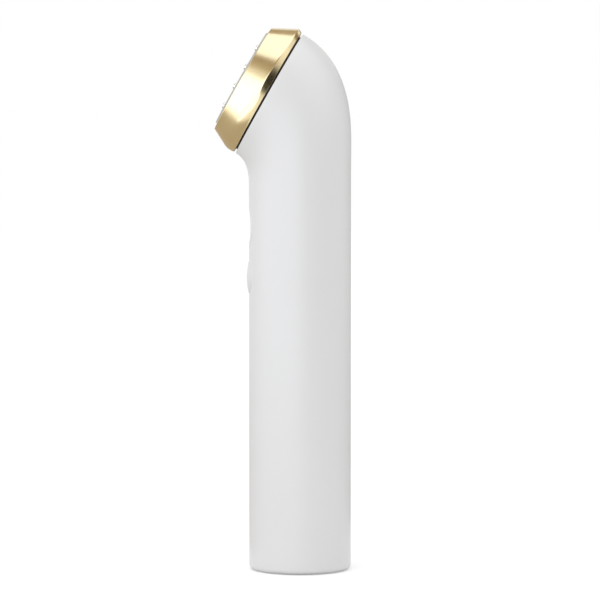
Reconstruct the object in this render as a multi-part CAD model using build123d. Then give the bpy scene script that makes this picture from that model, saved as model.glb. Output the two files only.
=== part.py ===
from build123d import *
from math import comb, cos, hypot, radians, sin, sqrt, tan
import os

os.makedirs("parts", exist_ok=True)

# A hand-held facial toning wand. A round grip leans forward at the neck into an oval mouth, which
# carries a gold ring and a face plate set with small electrodes. Two round buttons sit in the front
# of the grip. It stands on its base, and is opened there: the base cap holds a chassis with the
# circuit board and the cell, and the head clips and screws into the mouth.
#
# Millimetres. The origin is the middle of the foot pad's underside, on the axis of the grip. +Z is
# up the grip, -Y is the front, and the wand is the same on both sides of X = 0. A depth in front of
# the grip's axis is written as a positive number, as in BOARD_FRONT.

# ---- Housing -------------------------------------------------------------------------------
TUBE_R = 16.8  # outside of the round grip
WALL = 2.2
RIM_Z = 0.4  # the foot pad stands this far below the housing's rim
BASE_ROUND = 1.6
HEAD_TILT = 29.0  # degrees that the mouth leans back from upright
MOUTH_TOP_Y = 1.32
MOUTH_TOP_RISE = 50.3  # from the end of the straight grip up to the top of the mouth
MOUTH_LONG = 44.9  # long way across the oval mouth; the short way is the grip's width
BACK_GRIP_PULLS = (14.0, 18.0)  # handles of the back outline, straight up from the grip
BACK_MOUTH_PULL = 21.0  # and its handle square to the mouth
CHIN_GRIP_PULLS = (8.5,)  # the same for the short outline under the head
CHIN_MOUTH_PULL = 3.0
NECK_STEPS = 9
MOUTH_ROUND = 0.3
SNAP_Z = 5.0  # groove that the base cap's hooks snap into
SNAP_HEIGHT = 1.4
SNAP_DEPTH = 0.7
CLEAR = 0.15  # ordinary gap between pieces that are put together
OVERCUT = 1.0  # how far a cut runs past what it opens

# ---- Buttons -------------------------------------------------------------------------------
POWER_DROP = 29.5  # from the end of the straight grip down to the button
POWER_R = 5.65
POWER_CROWN = 0.75  # the power button is domed
LEVEL_DROP = 12.7
LEVEL_R = 5.95
LEVEL_CROWN = -0.48  # the level button is dished, so that a fingertip tells the two apart
BUTTON_TRAVEL = 0.5
BUTTON_FLANGE = 0.9  # the flange behind the wall that keeps a cap in
BUTTON_ROOM = 2.4  # from the inside of the wall to the back of that flange
STEM_R = 1.6

# ---- Circuit board, in the grip ------------------------------------------------------------
BOARD_ROOM = 8.2  # from the inside of the front wall to the back of the board
BOARD_THICK = 1.2
BOARD_SIDE_GAP = 1.15
BOARD_LOW = 3.4
BOARD_CORNER = 3.4
BOARD_SCREW_EDGE = 2.0  # from the board's long edges to its screws
BOARD_SCREW_LOW = 13.1  # from its lower end
BOARD_SCREW_HIGH = 4.0  # and from its upper end
SWITCH_SIZE = 6.0
SWITCH_CORNER = 0.5
SWITCH_HEIGHT = 2.4
SWITCH_FLOOR = 0.6
PLUNGER_R = 1.2
PLUNGER_PROUD = 0.6
GUIDE_GAP = 0.4
GUIDE_THICK = 0.8
GUIDE_HALF = 7.2
GUIDE_END = 7.6
GUIDE_CORNER = 1.5
GUIDE_POST_R = 1.0

# ---- Chassis and cell ----------------------------------------------------------------------
CHASSIS_GAP = 0.2
CHASSIS_WALL = 1.2
CHASSIS_LOW = 7.0
CHASSIS_TOP_GAP = 1.0  # from the chassis up to the end of the board, and on to the neck
CHASSIS_BOSS_R = 2.4
FLOOR_THICK = 1.2
RAIL_INSIDE = 1.7  # from a board screw to the inner side of its rail
RAIL_DEEP = 3.4
RAIL_FLOOR = 0.6  # what is left of the rail under a screw hole
CELL_FRONT_GAP = 1.05
CELL_LONG = 65.0
CELL_LOW = 14.5
CELL_ROUND = 0.8
TAB_THICK = 0.25
TAB_HALF = 2.5
TAB_FOOT = 1.5
PAD_THICK = 1.0
PAD_INSET = 1.2
SADDLE_THICK = 2.0
SADDLE_GAP = 0.1
SADDLE_SHARES = (0.2, 0.8)  # where the saddles stand along the cell
BACK_WINDOW = (12.0, 24.0)  # width and height of the opening behind the cell

# ---- Base ----------------------------------------------------------------------------------
CAP_THICK = 2.2
CAP_BOSS_R = 2.6
FOOT_INSET = 1.85  # from the cap's edge to the foot pad
FOOT_THICK = 1.2
FOOT_ROUND = 0.25
FOOT_SLOT_GAP = 0.5
SKIRT_WALL = 1.1
HOOK_COUNT = 4
HOOK_HALF_ANGLE = 14.0
BASE_SCREW_INSET = 5.05
BASE_SCREW_Y = 4.0
USB_WIDE = 8.94
USB_DEEP = 3.26
USB_LONG = 7.35
USB_WALL = 0.3
USB_BACK = 1.2  # the socket's back wall
USB_SETBACK = 1.2  # how far the socket's mouth lies inside the housing's rim
TONGUE_WIDE = 6.7
TONGUE_THICK = 0.7
TONGUE_LONG = 4.5

# ---- Head, in heights above the plane of the mouth and in insets from its oval --------------
SEAT_GAP = 0.3  # the gasket's thickness, seen as a dark line behind the ring
GASKET_INSET = 0.9
RING_FRONT = 10.7
RING_INSET = 3.85  # of the ring's front edge
RING_FLARE = 28.0  # degrees
RING_WALL = 1.3
RING_ROUND = 1.6
RING_FLANGE = 1.4
RING_EDGE_ROUND = 0.25
LIP_THICK = 1.2
LIP_WIDE = 1.5
PLATE_PROUD = 0.35
PLATE_GAP = 0.1
PLATE_FLANGE = 0.9
PLATE_ROUND = 0.3
FACE_SEAL_THICK = 0.3
CARRIER_SEAT = -3.0
CARRIER_PLATE = 1.6
CARRIER_GAP = 0.4  # room for the curve of the wall below the mouth
BARREL_INSET = 6.45  # of the carrier's barrel
BARREL_WALL = 1.3
CARRIER_FLANGE = 1.0
CARRIER_FLANGE_WIDE = 1.6
ELECTRODE_BOARD_THICK = 1.0
ELECTRODE_BOARD_DROP = 1.1  # from the back of the face plate to the board
LEDGE_WIDE = 0.45
LEDGE_THICK = 1.0
BOSS_TURN = 38.5  # degrees round the oval from its short way to a screw
BOSS_R = 2.5
BOSS_DEEP = 7.0
SENSOR_R = 0.9

# ---- Electrodes ----------------------------------------------------------------------------
ROW_COUNTS = (3, 4, 4, 3)
ROW_MARGIN = 6.36  # from the ends of the lip's oval to the first and last rows
COLUMN_MARGIN = 3.95  # and from its sides to the ends of the longest rows
PIN_R = 1.05
PIN_PROUD = 0.95
PIN_SEAT = 0.9
PIN_ROUND = 0.6
PIN_STEM_R = 0.5
PIN_TAIL = 0.4

# ---- Screws --------------------------------------------------------------------------------
SCREW_R = 0.8
SCREW_HEAD_R = 1.55
SCREW_HEAD_HIGH = 1.1
SCREW_HEAD_ROUND = 0.4
SCREW_SLOT = 0.5  # width and depth of the cross slot
SCREW_SLOT_EDGE = 0.6
SCREW_LONG = 5.0  # depth of the screw holes in the bosses
SCREW_TIP_GAP = 0.5

# ---- Board parts: width, length and height, and the gaps between them ----------------------
CHARGER = (4.0, 4.0, 0.9)
CHARGER_RISE = 18.6  # from the board's lower end
COIL_R = 3.4
COIL_HIGH = 3.2
COIL_FLANGE = 0.7
COIL_WAIST = 0.8
COIL_RISE = 12.0  # above the charger
CAPACITOR_R = 3.15
CAPACITOR_HIGH = 5.2
CAPACITOR_ROUND = 0.5
CAPACITOR_RISES = (12.0, 22.0)  # above the coil
CHIP = (7.0, 7.0, 1.0)
CHIP_DROP = 22.5  # below the power button
TRANSISTOR = (5.0, 4.4, 1.8)
TRANSISTOR_X = 4.4
TRANSISTOR_DROP = 12.0
CORE_WIDE = 13.0
CORE_DEEP = 8.6
CORE_LEG = 2.1
CORE_YOKE = 1.0
WINDING_LONG = 12.0
WINDING_ROUND = 1.2
TRANSFORMER_GAP = 3.05  # above the floor over the cell
MOTOR_R = 5.0
MOTOR_HIGH = 2.7
MOTOR_GAP = 5.0
PLUG = (9.0, 4.6, 3.4)
PLUG_GAP = 4.3
PLUG_TOP_GAP = 4.1
CABLE_WIDE = 7.0
CABLE_THICK = 0.7
CABLE_BEND = 9.0

# ---- Worked out from the sizes above: along the grip ---------------------------------------
pad_gap = TAB_THICK + PAD_THICK
cell_high = CELL_LOW + CELL_LONG
transformer_z = cell_high + pad_gap + FLOOR_THICK + TRANSFORMER_GAP + WINDING_LONG / 2
motor_z = transformer_z + WINDING_LONG / 2 + MOTOR_GAP + MOTOR_R
plug_z = motor_z + MOTOR_R + PLUG_GAP + PLUG[1] / 2
board_high = plug_z + PLUG[1] / 2 + PLUG_TOP_GAP
chassis_high = board_high - CHASSIS_TOP_GAP
neck_z = board_high + CHASSIS_TOP_GAP
power_z = neck_z - POWER_DROP
level_z = neck_z - LEVEL_DROP
charger_z = BOARD_LOW + CHARGER_RISE
coil_z = charger_z + COIL_RISE
usb_low = RIM_Z + USB_SETBACK
cap_top = RIM_Z + CAP_THICK

# ---- and across it -------------------------------------------------------------------------
inner_r = TUBE_R - WALL
button_back = inner_r - BUTTON_ROOM
board_back = inner_r - BOARD_ROOM
board_front = board_back + BOARD_THICK
board_half = sqrt(inner_r**2 - board_front**2) - BOARD_SIDE_GAP
board_screw_x = board_half - BOARD_SCREW_EDGE
board_screw_ends = (BOARD_LOW + BOARD_SCREW_LOW, board_high - BOARD_SCREW_HIGH)
board_screw_zs = (board_screw_ends[0], sum(board_screw_ends) / 2, board_screw_ends[1])
switch_top = board_front + SWITCH_HEIGHT
plunger_tip = switch_top + PLUNGER_PROUD
guide_low = switch_top + GUIDE_GAP
chassis_r = inner_r - CHASSIS_GAP
chassis_inside = chassis_r - CHASSIS_WALL
cell_r = (chassis_inside + board_back - CELL_FRONT_GAP - CLEAR) / 2
cell_y = chassis_inside - CLEAR - cell_r
cap_r = inner_r - CLEAR
foot_r = cap_r - FOOT_INSET
base_screw_x = cap_r - BASE_SCREW_INSET
usb_y = -board_back + USB_DEEP / 2
plug_y = -board_back + PLUG[2] / 2

# ---- and in the head -----------------------------------------------------------------------
mouth_lean = radians(HEAD_TILT)
mouth_up = (sin(mouth_lean), cos(mouth_lean))  # up the mouth, as Y and Z
mouth_out = (-cos(mouth_lean), sin(mouth_lean))  # out of the mouth, as Y and Z
mouth_half = MOUTH_LONG / 2
oval_slim = mouth_half - TUBE_R  # every oval of the head is this much slimmer than it is long
mouth_y = MOUTH_TOP_Y - mouth_half * mouth_up[0]
mouth_z = neck_z + MOUTH_TOP_RISE - mouth_half * mouth_up[1]
flare = tan(radians(RING_FLARE))
slant_wall = RING_WALL / cos(radians(RING_FLARE))
ring_half = mouth_half - RING_INSET
lip_half = ring_half - LIP_WIDE
lip_back = RING_FRONT - LIP_THICK
plate_front = RING_FRONT + PLATE_PROUD
plate_back = lip_back - FACE_SEAL_THICK - PLATE_FLANGE
electrode_board_top = plate_back - ELECTRODE_BOARD_DROP
electrode_board_low = electrode_board_top - ELECTRODE_BOARD_THICK
carrier_low = CARRIER_SEAT + CARRIER_PLATE
barrel_half = mouth_half - BARREL_INSET
seat_half = mouth_half - WALL - CARRIER_GAP
boss_half = (barrel_half + seat_half) / 2
boss_x = (boss_half - oval_slim) * cos(radians(BOSS_TURN))
boss_up = boss_half * sin(radians(BOSS_TURN))
boss_places = [(x, up) for x in (-boss_x, boss_x) for up in (-boss_up, boss_up)]
row_pitch = 2 * (lip_half - ROW_MARGIN) / (len(ROW_COUNTS) - 1)
column_pitch = 2 * (lip_half - oval_slim - COLUMN_MARGIN) / (max(ROW_COUNTS) - 1)


def group(pieces):
    """Several separate solids as one node."""
    return Compound([solid for piece in pieces for solid in piece.solids()])


def at_front(z, ahead, x=0.0):
    """A plane that faces the front, at a height and a distance ahead of the grip's axis."""
    return Plane(origin=(x, -ahead, z), x_dir=(1, 0, 0), z_dir=(0, -1, 0))


def at_height(z, x=0.0, y=0.0):
    """A level plane."""
    return Plane(origin=(x, y, z), x_dir=(1, 0, 0), z_dir=(0, 0, 1))


def on_head(height, x=0.0, up=0.0):
    """A plane parallel to the mouth: height out of it, x across it and up along it."""
    y = mouth_y + height * mouth_out[0] + up * mouth_up[0]
    z = mouth_z + height * mouth_out[1] + up * mouth_up[1]
    return Plane(origin=(x, y, z), x_dir=(1, 0, 0), z_dir=(0, mouth_out[0], mouth_out[1]))


def oval(long_half):
    """An oval of the head's family: its short half is slimmer by a fixed amount."""
    return Ellipse(long_half - oval_slim, long_half)


def oval_slab(long_half, low, high):
    return extrude(on_head(low) * oval(long_half), high - low)


def oval_band(outer_half, inner_half, low, high):
    return extrude(on_head(low) * (oval(outer_half) - oval(inner_half)), high - low)


def block(plane, wide, long, high):
    return extrude(plane * Rectangle(wide, long), high)


def post(plane, radius, high):
    return extrude(plane * Circle(radius), high)


def screw(plane, length):
    """A small pan-head screw that points down into its plane, with its head standing on it."""
    head = post(plane, SCREW_HEAD_R, SCREW_HEAD_HIGH)
    head = fillet(head.edges().sort_by(plane_height(plane))[-1], SCREW_HEAD_ROUND)
    slot_floor = plane.offset(SCREW_HEAD_HIGH - SCREW_SLOT)
    slot_long = 2 * (SCREW_HEAD_R - SCREW_SLOT_EDGE)
    head -= block(slot_floor, slot_long, SCREW_SLOT, SCREW_SLOT)
    head -= block(slot_floor, SCREW_SLOT, slot_long, SCREW_SLOT)
    return head + post(plane, SCREW_R, -length)


def plane_height(plane):
    """The axis that sorts things by how far they stand out of a plane."""
    return Axis(plane.origin, plane.z_dir)


# ---- Housing -------------------------------------------------------------------------------
def outline_point(side_y, grip_pulls, mouth_end, mouth_pull, t):
    """A point of a neck outline: a Bezier curve that leaves the grip upright and meets the mouth square."""
    end_y = mouth_y + mouth_end * mouth_up[0]
    end_z = mouth_z + mouth_end * mouth_up[1]
    handles = [(side_y, neck_z)] + [(side_y, neck_z + pull) for pull in grip_pulls]
    handles += [(end_y - mouth_pull * mouth_out[0], end_z - mouth_pull * mouth_out[1]), (end_y, end_z)]
    last = len(handles) - 1
    weights = [comb(last, k) * (1 - t) ** (last - k) * t**k for k in range(last + 1)]
    return (
        sum(weight * y for weight, (y, z) in zip(weights, handles)),
        sum(weight * z for weight, (y, z) in zip(weights, handles)),
    )


def neck_section(t, inset):
    """The oval across the neck at t, on a plane through the same station of its two outlines."""
    back_y, back_z = outline_point(TUBE_R, BACK_GRIP_PULLS, mouth_half, BACK_MOUTH_PULL, t)
    chin_y, chin_z = outline_point(-TUBE_R, CHIN_GRIP_PULLS, -mouth_half, CHIN_MOUTH_PULL, t)
    across_y, across_z = back_y - chin_y, back_z - chin_z
    middle = (0, (back_y + chin_y) / 2, (back_z + chin_z) / 2)
    plane = Plane(origin=middle, x_dir=(0, across_y, across_z), z_dir=(0, -across_z, across_y))
    return plane * Ellipse(hypot(across_y, across_z) / 2 - inset, TUBE_R - inset)


def wand_form(inset, low, over):
    """Grip and neck as one solid with its skin moved inwards, from low up to past the mouth."""
    grip = post(at_height(low), TUBE_R - inset, neck_z - low)
    neck = loft([neck_section(i / NECK_STEPS, inset) for i in range(NECK_STEPS + 1)])
    if over:
        neck += oval_slab(mouth_half - inset, 0, over)
    return grip + neck


def head_bosses(skin):
    """Four screw bosses inside the mouth, each tied to the wall by a rib and cut to the skin."""
    bosses = Part()
    for x, up in boss_places:
        plane = on_head(CARRIER_SEAT, x, up)
        rib = plane.offset(-BOSS_DEEP) * Pos(x / abs(x) * BOSS_R / 2, 0) * Rectangle(2 * BOSS_R, WALL)
        bosses += post(plane, BOSS_R, -BOSS_DEEP) + extrude(rib, BOSS_DEEP)
    return bosses & skin


def main_housing():
    skin = wand_form(0, RIM_Z, 0)
    skin = fillet(skin.edges().filter_by(GeomType.CIRCLE).sort_by(Axis.Z)[0], BASE_ROUND)
    skin = fillet(skin.edges().sort_by(plane_height(on_head(0)))[-1], MOUTH_ROUND)
    hollow = wand_form(WALL, RIM_Z - OVERCUT, OVERCUT)
    shell = skin - hollow + head_bosses(wand_form(WALL / 2, RIM_Z, 0))
    for x, up in boss_places:
        shell -= post(on_head(CARRIER_SEAT, x, up), SCREW_R, -SCREW_LONG)
    shell -= post(at_height(SNAP_Z), inner_r + SNAP_DEPTH, SNAP_HEIGHT)
    for z, radius in ((power_z, POWER_R), (level_z, LEVEL_R)):
        shell -= post(at_front(z, button_back), radius + CLEAR, TUBE_R)
    return shell


# ---- Buttons -------------------------------------------------------------------------------
def crown_form(z, radius, crown):
    """A barrel or a waisted barrel that meets the grip's skin all round a button's edge."""
    side = sqrt(TUBE_R**2 - radius**2)  # how far ahead the skin is at the button's two sides
    drop = TUBE_R + crown - side
    barrel_r = (radius**2 + drop**2) / (2 * drop)
    axis_ahead = TUBE_R + crown - barrel_r
    bow_r = (radius**2 + crown**2) / (2 * crown)  # of the barrel's bowed side, below 0 where it is waisted
    end = radius + OVERCUT
    end_r = barrel_r - bow_r * (1 - sqrt(1 - (end / bow_r) ** 2))
    curve = ThreePointArc((0, -end_r, -end), (0, -barrel_r, 0), (0, -end_r, end))
    sides = Polyline((0, -end_r, end), (0, 0, end), (0, 0, -end), (0, -end_r, -end))
    return Pos(0, -axis_ahead, z) * revolve(make_face(curve + sides), Axis.Z)


def button_cap(z, radius, crown):
    """A round cap cut to its crown, its flange cut to the wall, and the stem that meets the switch."""
    back = at_front(z, button_back)
    cap = post(back, radius, TUBE_R) & crown_form(z, radius, crown)
    flange = post(back, radius + BUTTON_FLANGE, BUTTON_ROOM)
    flange &= post(at_height(z - 2 * radius), inner_r - CLEAR, 4 * radius)
    return cap + flange + post(at_front(z, plunger_tip), STEM_R, button_back - plunger_tip)


def switch_body(z):
    case = block(at_front(z, board_front), SWITCH_SIZE, SWITCH_SIZE, SWITCH_HEIGHT)
    case = chamfer(case.edges().filter_by(Axis.Y), SWITCH_CORNER)
    return case - post(at_front(z, board_front + SWITCH_FLOOR), PLUNGER_R + CLEAR, SWITCH_HEIGHT)


def switch_plunger(z):
    low = board_front + SWITCH_FLOOR + BUTTON_TRAVEL + CLEAR
    return post(at_front(z, low), PLUNGER_R, plunger_tip - low)


def button_guide():
    """The bracket on the board that steers both stems."""
    low, high = power_z - GUIDE_END, level_z + GUIDE_END
    middle = (low + high) / 2
    plate = block(at_front(middle, guide_low), 2 * GUIDE_HALF, high - low, GUIDE_THICK)
    plate = fillet(plate.edges().filter_by(Axis.Y), GUIDE_CORNER)
    for z in (power_z, level_z):
        plate -= post(at_front(z, guide_low), STEM_R + 2 * CLEAR, GUIDE_THICK)
    for x in (-GUIDE_HALF + GUIDE_CORNER, GUIDE_HALF - GUIDE_CORNER):
        for z in (low + GUIDE_CORNER, high - GUIDE_CORNER):
            plate += post(at_front(z, board_front, x), GUIDE_POST_R, guide_low - board_front)
    return plate


# ---- Circuit board and what is soldered to it ----------------------------------------------
def main_board():
    middle = (BOARD_LOW + board_high) / 2
    board = block(at_front(middle, board_back), 2 * board_half, board_high - BOARD_LOW, BOARD_THICK)
    board = chamfer(board.edges().filter_by(Axis.Y), BOARD_CORNER)
    for z in board_screw_zs:
        for x in (-board_screw_x, board_screw_x):
            board -= post(at_front(z, board_back, x), SCREW_R + CLEAR, BOARD_THICK)
    return board


def board_screws():
    return group(
        screw(at_front(z, board_front, x), BOARD_THICK + RAIL_DEEP - RAIL_FLOOR - SCREW_TIP_GAP)
        for z in board_screw_zs
        for x in (-board_screw_x, board_screw_x)
    )


def on_board(size, z, x=0.0):
    """A packaged part that stands on the front of the board."""
    return block(at_front(z, board_front, x), *size)


def behind_board(size, z):
    """A packaged part that stands on the back of the board."""
    return block(at_front(z, board_back), size[0], size[1], -size[2])


def boost_coil():
    spool = post(at_front(coil_z, board_front), COIL_R, COIL_HIGH)
    waist = post(at_front(coil_z, board_front + COIL_FLANGE), COIL_R, COIL_HIGH - 2 * COIL_FLANGE)
    return spool - (waist - post(at_front(coil_z, board_front), COIL_R - COIL_WAIST, COIL_HIGH))


def storage_capacitors():
    cans = []
    for rise in CAPACITOR_RISES:
        can = post(at_front(coil_z + rise, board_front), CAPACITOR_R, CAPACITOR_HIGH)
        cans.append(fillet(can.edges().sort_by(Axis.Y)[0], CAPACITOR_ROUND))
    return group(cans)


def driver_transistors():
    z = power_z - TRANSISTOR_DROP
    return group([on_board(TRANSISTOR, z, x) for x in (-TRANSISTOR_X, TRANSISTOR_X)])


def transformer_core():
    """Two E-shaped halves drawn as one frame round the winding."""
    back = at_front(transformer_z, board_back)
    frame = block(back, CORE_WIDE, WINDING_LONG - 2 * CLEAR, -CORE_DEEP)
    room = CORE_DEEP - 2 * CORE_YOKE
    return frame - block(back.offset(-CORE_YOKE), CORE_WIDE - 2 * CORE_LEG, WINDING_LONG, -room)


def transformer_winding():
    wide, deep = CORE_WIDE - 2 * CORE_LEG - 2 * CLEAR, CORE_DEEP - 2 * CORE_YOKE
    winding = block(at_front(transformer_z, board_back - CORE_YOKE), wide, WINDING_LONG, -deep)
    return fillet(winding.edges().filter_by(Axis.Z), WINDING_ROUND)


def usb_shell():
    plane = at_height(usb_low, y=usb_y)
    outer = SlotOverall(USB_WIDE, USB_DEEP)
    inner = SlotOverall(USB_WIDE - 2 * USB_WALL, USB_DEEP - 2 * USB_WALL)
    return extrude(plane * outer, USB_LONG) - extrude(plane * inner, USB_LONG - USB_BACK)


def usb_tongue():
    plane = at_height(usb_low + USB_LONG - USB_BACK, y=usb_y)
    return block(plane, TONGUE_WIDE, TONGUE_THICK, -TONGUE_LONG)


def ribbon_cable():
    """The flat cable from the electrode board down to its plug on the main board."""
    start = on_head(electrode_board_low).origin
    fall = (plug_y - start.Y) / -mouth_out[0]  # along the head's axis to straight above the plug
    corner = (0, plug_y, start.Z - fall * mouth_out[1])
    end = (0, plug_y, plug_z + PLUG[1] / 2)
    path = FilletPolyline((0, start.Y, start.Z), corner, end, radius=CABLE_BEND)
    section = Plane(origin=start, x_dir=(1, 0, 0), z_dir=(path % 0)) * Rectangle(CABLE_WIDE, CABLE_THICK)
    return sweep(section, path=path)


# ---- Chassis and cell ----------------------------------------------------------------------
def behind_the_board(sketch):
    """The part of a level sketch that lies behind the board."""
    return sketch - Pos(0, -board_back - TUBE_R) * Rectangle(4 * TUBE_R, 2 * TUBE_R)


def chassis():
    """A half-round spine with rails for the board, floors at the cell's ends and saddles behind it."""
    spine = behind_the_board(Circle(chassis_r) - Circle(chassis_inside))
    rail = Pos(0, -board_back + RAIL_DEEP / 2) * Rectangle(2 * chassis_r, RAIL_DEEP)
    rails = rail - Rectangle(2 * (board_screw_x - RAIL_INSIDE), 4 * TUBE_R)
    section = spine + (rails & Circle(chassis_r))
    frame = extrude(at_height(CHASSIS_LOW) * section, chassis_high - CHASSIS_LOW)
    floor = behind_the_board(Circle(chassis_r))
    for z in (CHASSIS_LOW, CELL_LOW - pad_gap - FLOOR_THICK, cell_high + pad_gap):
        frame += extrude(at_height(z) * floor, FLOOR_THICK)
    saddle = Circle(chassis_inside + CHASSIS_WALL / 2) - Pos(0, cell_y) * Circle(cell_r + SADDLE_GAP)
    saddle -= Pos(0, -TUBE_R + cell_y / 2) * Rectangle(4 * TUBE_R, 2 * TUBE_R)
    for share in SADDLE_SHARES:
        middle = CELL_LOW + share * CELL_LONG
        frame += extrude(at_height(middle - SADDLE_THICK / 2) * saddle, SADDLE_THICK)
    for x in (-base_screw_x, base_screw_x):
        boss_high = CELL_LOW - pad_gap - CHASSIS_LOW
        frame += post(at_height(CHASSIS_LOW, x, BASE_SCREW_Y), CHASSIS_BOSS_R, boss_high)
        frame -= post(at_height(CHASSIS_LOW, x, BASE_SCREW_Y), SCREW_R, SCREW_LONG)
    for z in board_screw_zs:
        for x in (-board_screw_x, board_screw_x):
            frame -= post(at_front(z, board_back, x), SCREW_R, RAIL_FLOOR - RAIL_DEEP)
    socket_high = usb_low + USB_LONG - CHASSIS_LOW
    frame -= block(at_height(CHASSIS_LOW, y=usb_y), USB_WIDE + 2 * CLEAR, USB_DEEP + 2 * CLEAR, socket_high)
    window = at_front(CELL_LOW + CELL_LONG / 2, -chassis_r)
    frame -= block(window, BACK_WINDOW[0], BACK_WINDOW[1], 2 * CHASSIS_WALL)
    return frame


def battery_cell():
    cell = post(at_height(CELL_LOW, y=cell_y), cell_r, CELL_LONG)
    return fillet(cell.edges().filter_by(GeomType.CIRCLE), CELL_ROUND)


def battery_tabs():
    """A nickel strip on each end of the cell, which runs forward to the board and is soldered there."""
    strips = []
    reach = cell_y + board_back
    for z, way in ((CELL_LOW, -1), (cell_high, 1)):
        plane = Plane(origin=(0, cell_y - reach / 2, z), x_dir=(1, 0, 0), z_dir=(0, 0, way))
        strip = block(plane, 2 * TAB_HALF, reach, TAB_THICK)
        foot = at_front(z + way * (TAB_THICK - TAB_FOOT) / 2, board_back)
        strips.append(strip + block(foot, 2 * TAB_HALF, TAB_FOOT + TAB_THICK, -TAB_THICK))
    return group(strips)


def battery_pads():
    levels = (CELL_LOW - pad_gap, cell_high + TAB_THICK)
    return group([post(at_height(z, y=cell_y), cell_r - PAD_INSET, PAD_THICK) for z in levels])


# ---- Base ----------------------------------------------------------------------------------
def usb_opening(gap):
    return Pos(0, usb_y) * SlotOverall(USB_WIDE + 2 * gap, USB_DEEP + 2 * gap)


def base_cap():
    """The plug in the foot of the grip: a disc with a skirt, four snap hooks and two screw bosses."""
    cap = post(at_height(RIM_Z), cap_r, CAP_THICK)
    skirt = Circle(cap_r) - Circle(cap_r - SKIRT_WALL)
    cap += extrude(at_height(cap_top) * skirt, SNAP_Z + SNAP_HEIGHT - CLEAR - cap_top)
    hook = Circle(inner_r + SNAP_DEPTH - CLEAR) - Circle(cap_r - SKIRT_WALL)
    spread = TUBE_R * tan(radians(HOOK_HALF_ANGLE))
    wedge = make_face(Polyline((0, 0), (TUBE_R, -spread), (TUBE_R, spread), close=True))
    for turn in range(HOOK_COUNT):
        catch = hook & (Rot(0, 0, (turn + 0.5) * 360 / HOOK_COUNT) * wedge)
        cap += extrude(at_height(SNAP_Z + CLEAR) * catch, SNAP_HEIGHT - 2 * CLEAR)
    for x in (-base_screw_x, base_screw_x):
        outside = at_height(RIM_Z, x, BASE_SCREW_Y)
        cap += post(at_height(cap_top, x, BASE_SCREW_Y), CAP_BOSS_R, CHASSIS_LOW - cap_top)
        cap -= post(outside, SCREW_R + CLEAR, CHASSIS_LOW)
        cap -= post(outside, SCREW_HEAD_R + CLEAR, FOOT_THICK + SCREW_HEAD_HIGH)
    cap -= post(at_height(RIM_Z), foot_r + CLEAR, FOOT_THICK - RIM_Z)
    return cap - extrude(at_height(RIM_Z) * usb_opening(CLEAR), CHASSIS_LOW)


def foot_pad():
    pad = post(at_height(0), foot_r, FOOT_THICK)
    pad = fillet(pad.edges().sort_by(Axis.Z)[0], FOOT_ROUND)
    return pad - extrude(at_height(0) * usb_opening(FOOT_SLOT_GAP), FOOT_THICK)


def base_screws():
    """The two screws that draw the cap and the chassis together, under the foot pad."""
    seat = RIM_Z + FOOT_THICK + SCREW_HEAD_HIGH
    places = [(x, BASE_SCREW_Y, seat) for x in (-base_screw_x, base_screw_x)]
    planes = [Plane(origin=place, x_dir=(1, 0, 0), z_dir=(0, 0, -1)) for place in places]
    return group(screw(plane, CHASSIS_LOW - seat + SCREW_LONG - SCREW_TIP_GAP) for plane in planes)


# ---- Head ----------------------------------------------------------------------------------
def flared_half(height):
    """Half of the long way across the ring's cone, at a height above the mouth."""
    return ring_half + flare * (RING_FRONT - height)


def flared_solid(low, high, inset):
    """A slice of the cone with its skin moved inwards."""
    outlines = [on_head(height) * oval(flared_half(height) - inset) for height in (low, high)]
    return loft(outlines, ruled=True)


def gold_ring():
    """The bezel: a flared oval band with a rolled back edge, a back flange and a lip over the plate."""
    ring = flared_solid(SEAT_GAP, RING_FRONT, 0)
    out_of_mouth = plane_height(on_head(0))
    ring = fillet(ring.edges().sort_by(out_of_mouth)[0], RING_ROUND)
    ring = fillet(ring.edges().sort_by(out_of_mouth)[-1], RING_EDGE_ROUND)
    flange_top = SEAT_GAP + RING_FLANGE
    ring -= flared_solid(flange_top, lip_back, slant_wall)
    ring -= oval_slab(lip_half, lip_back - OVERCUT, RING_FRONT + OVERCUT)
    return ring - oval_slab(barrel_half + CARRIER_FLANGE_WIDE + 2 * CLEAR, 0, flange_top + OVERCUT)


def ring_gasket():
    return oval_band(mouth_half - GASKET_INSET, mouth_half - WALL + CLEAR, 0, SEAT_GAP)


def head_carrier():
    """The frame that joins the head to the housing: a seat in the mouth, a barrel and a top flange."""
    hole = barrel_half - BARREL_WALL
    carrier = oval_band(seat_half, hole, CARRIER_SEAT, carrier_low)
    carrier += oval_band(barrel_half, hole, CARRIER_SEAT, plate_back)
    carrier += oval_band(barrel_half + CARRIER_FLANGE_WIDE, hole, plate_back - CARRIER_FLANGE, plate_back)
    ledge_low = electrode_board_low - LEDGE_THICK
    carrier += oval_band(barrel_half, hole - LEDGE_WIDE, ledge_low, electrode_board_low)
    for x, up in boss_places:
        carrier -= post(on_head(CARRIER_SEAT, x, up), SCREW_R + CLEAR, CARRIER_PLATE)
    return carrier


def carrier_screws():
    length = CARRIER_PLATE + SCREW_LONG - SCREW_TIP_GAP
    return group(screw(on_head(carrier_low, x, up), length) for x, up in boss_places)


def electrode_places():
    """Where the electrodes stand: four rows up the face, in staggered columns."""
    for row, count in enumerate(ROW_COUNTS):
        up = (row - (len(ROW_COUNTS) - 1) / 2) * row_pitch
        for column in range(count):
            yield (column - (count - 1) / 2) * column_pitch, up


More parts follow.
